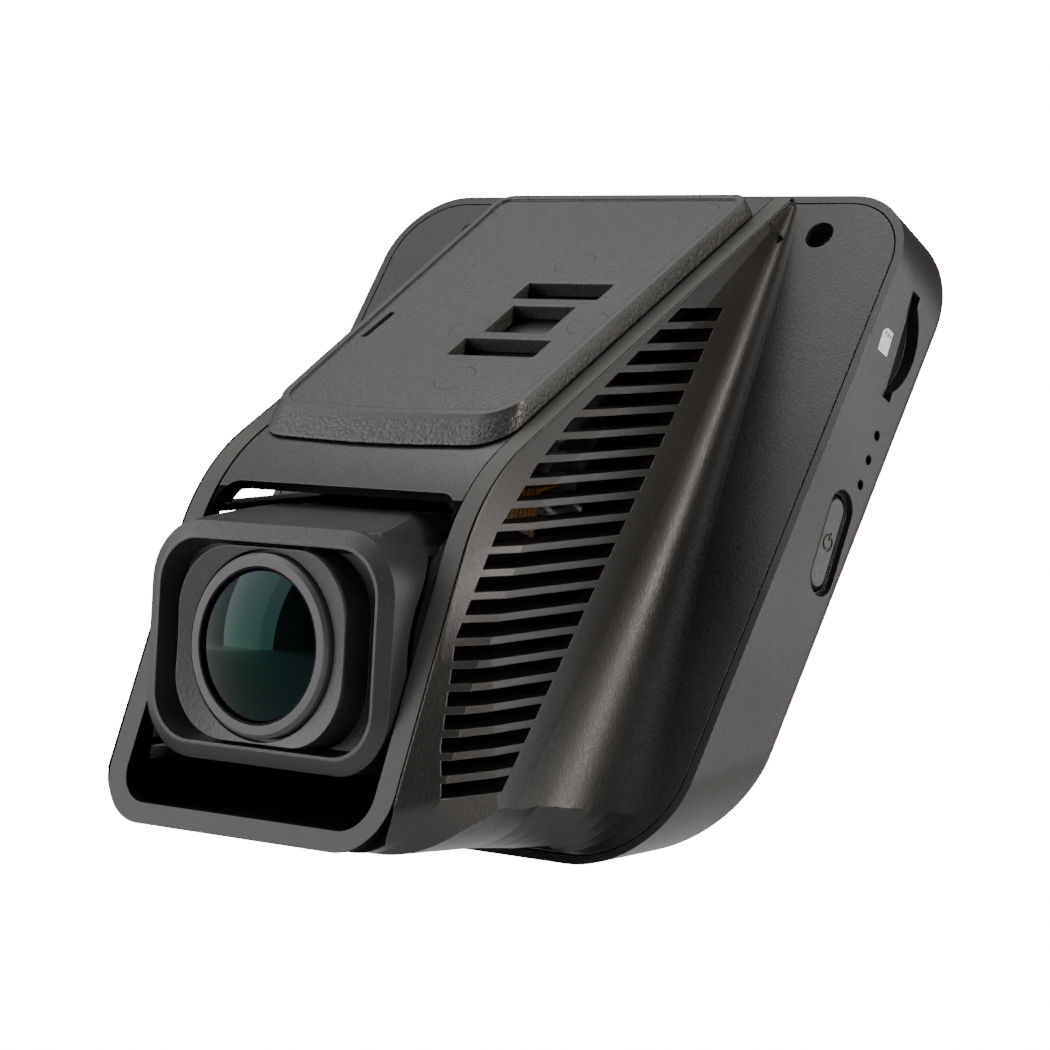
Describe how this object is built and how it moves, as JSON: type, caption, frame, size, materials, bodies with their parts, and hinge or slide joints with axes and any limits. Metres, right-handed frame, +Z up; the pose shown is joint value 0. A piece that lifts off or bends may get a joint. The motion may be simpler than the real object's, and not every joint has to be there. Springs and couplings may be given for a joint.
{
  "type": "dash camera",
  "caption": "Windscreen dash camera with a leaning screen case, a vented wedge-shaped cradle, a tilting lens pod and a slide-on adhesive bracket.",
  "frame": {"origin": "middle of the bracket's glued face, where it meets the windscreen", "axes": "+X towards the card slot side, -Y the way the lens looks when level, +Z up"},
  "size_m": [0.066, 0.0696, 0.0648],
  "materials": {
    "case_black": "fine-grained satin black",
    "bracket_black": "leather-grained semi-gloss black",
    "rim_grey": "satin gunmetal paint",
    "pod_black": "satin black",
    "inner_black": "matt black",
    "lens_glass": "coated, green reflection",
    "board_green": "solder resist",
    "chip_black": "matt",
    "steel": "plain",
    "aluminium": "plain",
    "amber_film": "polyimide film",
    "cell_silver": "pouch foil",
    "screen_black": "gloss black",
    "lcd_grey": "polariser",
    "card_black": "gloss",
    "print_white": "ink",
    "key_black": "semi-gloss"
  },
  "bodies": {
    "bracket": {"windscreen_bracket": "bracket_black"},
    "camera": {"front_shell": "case_black", "rear_shell": "case_black", "bezel_frame": "rim_grey", "tray_cover": "case_black", "light_baffle": "inner_black", "tilt_pivot_right": "pod_black", "tilt_pivot_left": "pod_black", "sensor_flex": "amber_film", "main_board": "board_green", "board_screws": "steel", "case_screws": "steel", "processor": "chip_black", "heat_spreader": "aluminium", "shield_can": "steel", "battery": "cell_silver", "speaker": "inner_black", "microphone": "steel", "lcd_panel": "lcd_grey", "screen_glass": "screen_black", "tact_switches": "steel", "power_switch": "chip_black", "card_socket": "steel", "usb_socket": "steel", "card_icon": "print_white"},
    "lens_pod": {"lens_housing": "pod_black", "lens_ring": "rim_grey", "lens_barrel": "inner_black", "front_lens": "lens_glass", "lens_seal": "inner_black", "baffle_cone": "inner_black", "inner_lens": "lens_glass", "rear_lens": "lens_glass", "sensor_window": "lens_glass", "image_sensor": "chip_black", "sensor_board": "board_green"},
    "power_button": {"power_button": "key_black"},
    "memory_card": {"memory_card": "card_black"},
    "rear_key_1": {"rear_key_1": "key_black"},
    "rear_key_2": {"rear_key_2": "key_black"},
    "rear_key_3": {"rear_key_3": "key_black"},
    "rear_key_4": {"rear_key_4": "key_black"}
  },
  "joints": [
    {"name": "bracket_slide", "type": "slide", "parent": "bracket", "child": "camera", "axis": [0, -0.8434, -0.5373], "range_m": [0, 0.014]},
    {"name": "lens_tilt", "type": "hinge", "parent": "camera", "child": "lens_pod", "pos_m": [0, -0.01782, -0.03321], "axis": [1, 0, 0], "range_deg": [-14, 12]},
    {"name": "power_press", "type": "slide", "parent": "camera", "child": "power_button", "axis": [-1, 0, 0], "range_m": [0, 0.0004], "stiffness_N_per_m": 400},
    {"name": "rear_key_1_press", "type": "slide", "parent": "camera", "child": "rear_key_1", "axis": [0, -0.8545, 0.5195], "range_m": [0, 0.0003], "stiffness_N_per_m": 400},
    {"name": "rear_key_2_press", "type": "slide", "parent": "camera", "child": "rear_key_2", "axis": [0, -0.8545, 0.5195], "range_m": [0, 0.0003], "stiffness_N_per_m": 400},
    {"name": "rear_key_3_press", "type": "slide", "parent": "camera", "child": "rear_key_3", "axis": [0, -0.8545, 0.5195], "range_m": [0, 0.0003], "stiffness_N_per_m": 400},
    {"name": "rear_key_4_press", "type": "slide", "parent": "camera", "child": "rear_key_4", "axis": [0, -0.8545, 0.5195], "range_m": [0, 0.0003], "stiffness_N_per_m": 400},
    {"name": "card_slide", "type": "slide", "parent": "camera", "child": "memory_card", "axis": [1, 0, 0], "range_m": [0, 0.012]}
  ]
}
